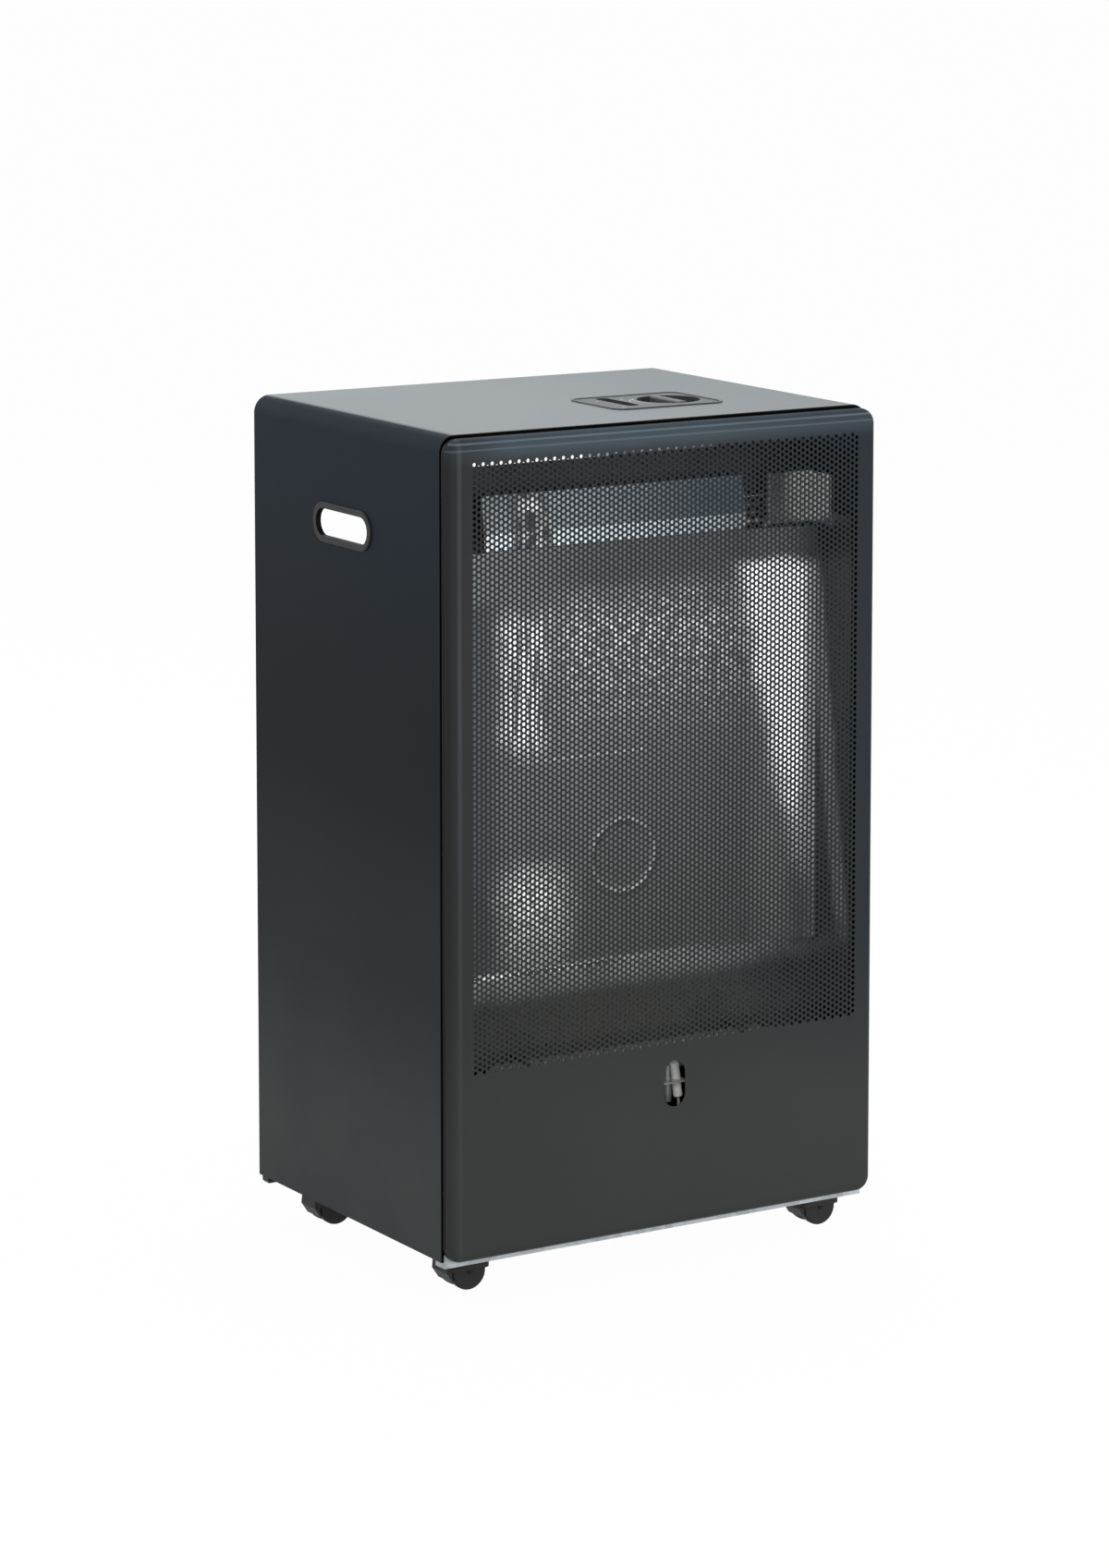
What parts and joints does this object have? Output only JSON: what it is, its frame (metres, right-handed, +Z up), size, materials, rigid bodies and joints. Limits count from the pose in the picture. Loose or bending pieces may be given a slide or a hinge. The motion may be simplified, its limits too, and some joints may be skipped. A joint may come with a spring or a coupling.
{
  "type": "portable gas cabinet heater",
  "caption": "Free-standing gas cabinet heater on casters with a finely perforated front, an inspection slot, controls in the top and a bottle bay behind a hinged cover.",
  "frame": {"origin": "on the floor, under the middle of the heater's width and depth", "axes": "+X left to right seen from the front, -Y the perforated front, +Z up"},
  "size_m": [0.43, 0.352, 0.741],
  "materials": {
    "cabinet_paint": "fine satin powder coat, charcoal",
    "panel_paint": "fine satin powder coat, charcoal",
    "tray_steel": "pale grey coated steel",
    "bright_steel": "rolled bright steel",
    "dull_steel": "dull rolled steel",
    "polished": "polished reflector sheet",
    "black_plastic": "fine matte black plastic",
    "grey_plastic": "satin dark grey plastic",
    "wheel_plastic": "satin dark plastic",
    "screw_zinc": "zinc-plated steel",
    "black_pin": "black oxide, ground",
    "brass": "plain turned brass",
    "cast_valve": "die-cast, matte",
    "ceramic": "smooth white ceramic",
    "lead_rubber": "pale silicone sleeve"
  },
  "bodies": {
    "cabinet": {"cabinet_shell": "cabinet_paint", "front_panel": "panel_paint", "panel_spacers": "black_plastic", "panel_screws": "screw_zinc", "base_tray": "tray_steel", "rear_feet": "black_plastic", "handle_rim_left": "black_plastic", "handle_rim_right": "black_plastic", "rear_hinge_brackets": "cabinet_paint", "rear_hinge_pins": "screw_zinc", "rear_catch": "black_plastic", "control_panel": "black_plastic", "igniter_body": "black_plastic", "valve_bracket": "dull_steel", "gas_valve": "cast_valve", "hose_nozzle": "brass", "bulkhead": "dull_steel", "reflector_back": "dull_steel", "reflector_right": "dull_steel", "reflector_left": "dull_steel", "top_deflector": "polished", "corner_guides": "polished", "heat_shield": "dull_steel", "chamber_floor": "bright_steel", "burner_tube": "bright_steel", "burner_stands": "dull_steel", "mixer_tube": "bright_steel", "injector": "brass", "injector_bracket": "dull_steel", "pilot_bracket": "bright_steel", "pilot_burner": "bright_steel", "spark_electrode": "ceramic", "electrode_pin": "bright_steel", "thermocouple": "bright_steel", "burner_pipe": "bright_steel", "pilot_pipe": "bright_steel", "thermocouple_lead": "brass", "ignition_lead": "lead_rubber", "caster_sockets": "black_plastic"},
    "collar": {"knob_collar": "black_plastic"},
    "knob": {"control_knob": "grey_plastic", "valve_stem": "screw_zinc"},
    "button": {"igniter_button": "black_plastic"},
    "cover": {"rear_cover": "panel_paint"},
    "caster_front_left": {"caster_hood_front_left": "black_plastic", "caster_pins_front_left": "black_pin"},
    "wheels_front_left": {"caster_wheels_front_left": "wheel_plastic"},
    "caster_front_right": {"caster_hood_front_right": "black_plastic", "caster_pins_front_right": "black_pin"},
    "wheels_front_right": {"caster_wheels_front_right": "wheel_plastic"},
    "caster_rear_left": {"caster_hood_rear_left": "black_plastic", "caster_pins_rear_left": "black_pin"},
    "wheels_rear_left": {"caster_wheels_rear_left": "wheel_plastic"},
    "caster_rear_right": {"caster_hood_rear_right": "black_plastic", "caster_pins_rear_right": "black_pin"},
    "wheels_rear_right": {"caster_wheels_rear_right": "wheel_plastic"}
  },
  "joints": [
    {"name": "knob_press", "type": "slide", "parent": "cabinet", "child": "collar", "axis": [0, 0, -1], "range_m": [0, 0.004], "stiffness_N_per_m": 400, "springref_m": -0.005},
    {"name": "knob_turn", "type": "hinge", "parent": "collar", "child": "knob", "pos_m": [0.082, -0.0455, 0.735], "axis": [0, 0, 1], "range_deg": [0, 180]},
    {"name": "igniter_press", "type": "slide", "parent": "cabinet", "child": "button", "axis": [0, 0, -1], "range_m": [0, 0.005], "stiffness_N_per_m": 500, "springref_m": -0.006},
    {"name": "rear_cover_hinge", "type": "hinge", "parent": "cabinet", "child": "cover", "pos_m": [-0.2067, 0.1715, 0.305], "axis": [0, 0, 1], "range_deg": [0, 110]},
    {"name": "swivel_front_left", "type": "hinge", "parent": "cabinet", "child": "caster_front_left", "pos_m": [-0.18, -0.1115, 0.03], "axis": [0, 0, 1], "continuous": true},
    {"name": "roll_front_left", "type": "hinge", "parent": "caster_front_left", "child": "wheels_front_left", "pos_m": [-0.166, -0.1115, 0.016], "axis": [0, 1, 0], "continuous": true},
    {"name": "swivel_front_right", "type": "hinge", "parent": "cabinet", "child": "caster_front_right", "pos_m": [0.18, -0.1115, 0.03], "axis": [0, 0, 1], "continuous": true},
    {"name": "roll_front_right", "type": "hinge", "parent": "caster_front_right", "child": "wheels_front_right", "pos_m": [0.194, -0.1115, 0.016], "axis": [0, 1, 0], "continuous": true},
    {"name": "swivel_rear_left", "type": "hinge", "parent": "cabinet", "child": "caster_rear_left", "pos_m": [-0.18, 0.1225, 0.03], "axis": [0, 0, 1], "continuous": true},
    {"name": "roll_rear_left", "type": "hinge", "parent": "caster_rear_left", "child": "wheels_rear_left", "pos_m": [-0.166, 0.1225, 0.016], "axis": [0, 1, 0], "continuous": true},
    {"name": "swivel_rear_right", "type": "hinge", "parent": "cabinet", "child": "caster_rear_right", "pos_m": [0.18, 0.1225, 0.03], "axis": [0, 0, 1], "continuous": true},
    {"name": "roll_rear_right", "type": "hinge", "parent": "caster_rear_right", "child": "wheels_rear_right", "pos_m": [0.194, 0.1225, 0.016], "axis": [0, 1, 0], "continuous": true}
  ]
}
